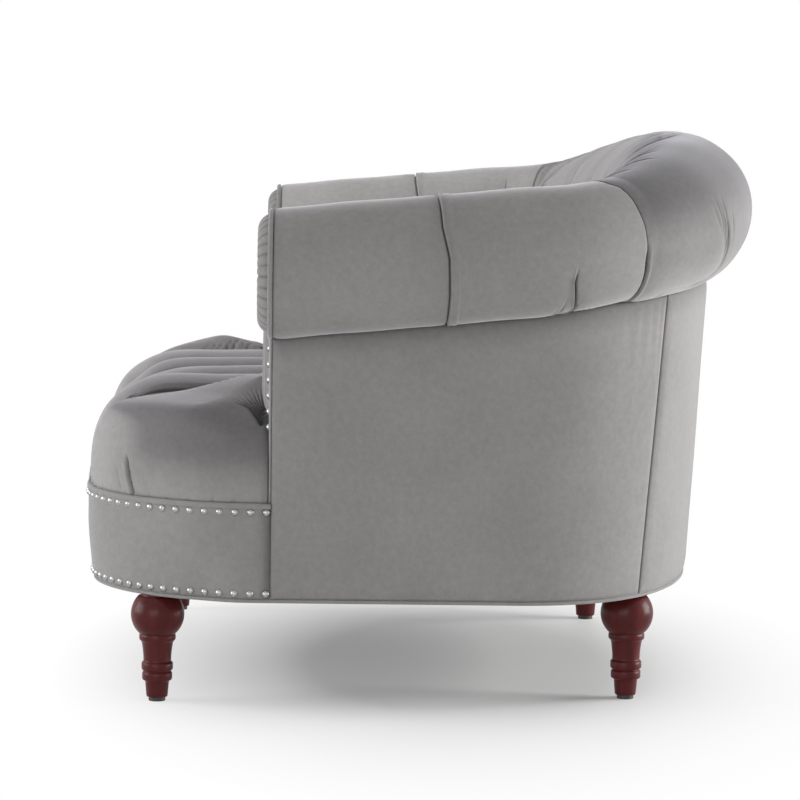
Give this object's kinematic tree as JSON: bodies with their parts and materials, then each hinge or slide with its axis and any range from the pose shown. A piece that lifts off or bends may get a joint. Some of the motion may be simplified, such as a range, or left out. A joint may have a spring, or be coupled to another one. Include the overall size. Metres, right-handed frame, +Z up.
{
  "type": "accent chair",
  "caption": "Low tub chair with rolled arms and back, deep tufting, a tight channelled seat, nailhead trim and turned wooden legs.",
  "frame": {"origin": "on the floor, below the middle of the chair's bounding box", "axes": "+Z up, front of the chair towards -Y, +X to the right as seen from the front"},
  "size_m": [1.0934, 0.9072, 0.7371],
  "materials": {
    "velvet": "velvet pile",
    "velvet_trim": "velvet pile",
    "leg_wood": "gloss mahogany stain",
    "glide_plastic": "matte",
    "nail_nickel": "polished nickel",
    "steel": "zinc plated",
    "frame_wood": "raw",
    "burlap": "woven",
    "dust_cloth": "non-woven"
  },
  "bodies": {
    "root": {"leg_front_left": "leg_wood", "leg_front_right": "leg_wood", "leg_rear_left": "leg_wood", "leg_rear_right": "leg_wood", "leg_glides": "glide_plastic", "hanger_bolts": "steel", "tee_nuts": "steel", "base_board": "frame_wood", "front_rail": "frame_wood", "side_rail_left": "frame_wood", "side_rail_right": "frame_wood", "rear_rail": "frame_wood", "corner_blocks": "frame_wood", "spring_rail_front": "frame_wood", "spring_rail_rear": "frame_wood", "seat_springs": "steel", "spring_clips": "steel", "seat_burlap": "burlap", "dust_cover": "dust_cloth", "dust_cover_staples": "steel", "arm_post_left": "frame_wood", "arm_post_right": "frame_wood", "arm_top_rail_left": "frame_wood", "arm_top_rail_right": "frame_wood", "back_top_rail": "frame_wood", "back_posts": "frame_wood", "inner_shell_left": "frame_wood", "inner_shell_right": "frame_wood", "inner_back_shell": "frame_wood", "seat_cushion": "velvet", "seat_buttons": "velvet", "inside_arm_pad_left": "velvet", "inside_arm_pad_right": "velvet", "inside_back_pad": "velvet", "arm_buttons": "velvet", "back_buttons": "velvet", "arm_roll_left": "velvet", "arm_roll_right": "velvet", "back_roll": "velvet", "outside_arm_panel_left": "velvet", "outside_arm_panel_right": "velvet", "outside_back_panel": "velvet", "front_band": "velvet", "band_strip": "velvet_trim", "base_welt_cord": "velvet_trim", "arm_front_panel_left": "velvet", "arm_front_panel_right": "velvet", "arm_facing_left": "velvet", "arm_facing_right": "velvet", "facing_welt_left": "velvet_trim", "facing_welt_right": "velvet_trim", "facing_button_left": "velvet", "facing_button_right": "velvet", "nails_lower_row": "nail_nickel", "nails_upper_row": "nail_nickel", "nails_arm_left": "nail_nickel", "nails_arm_right": "nail_nickel"}
  },
  "joints": []
}
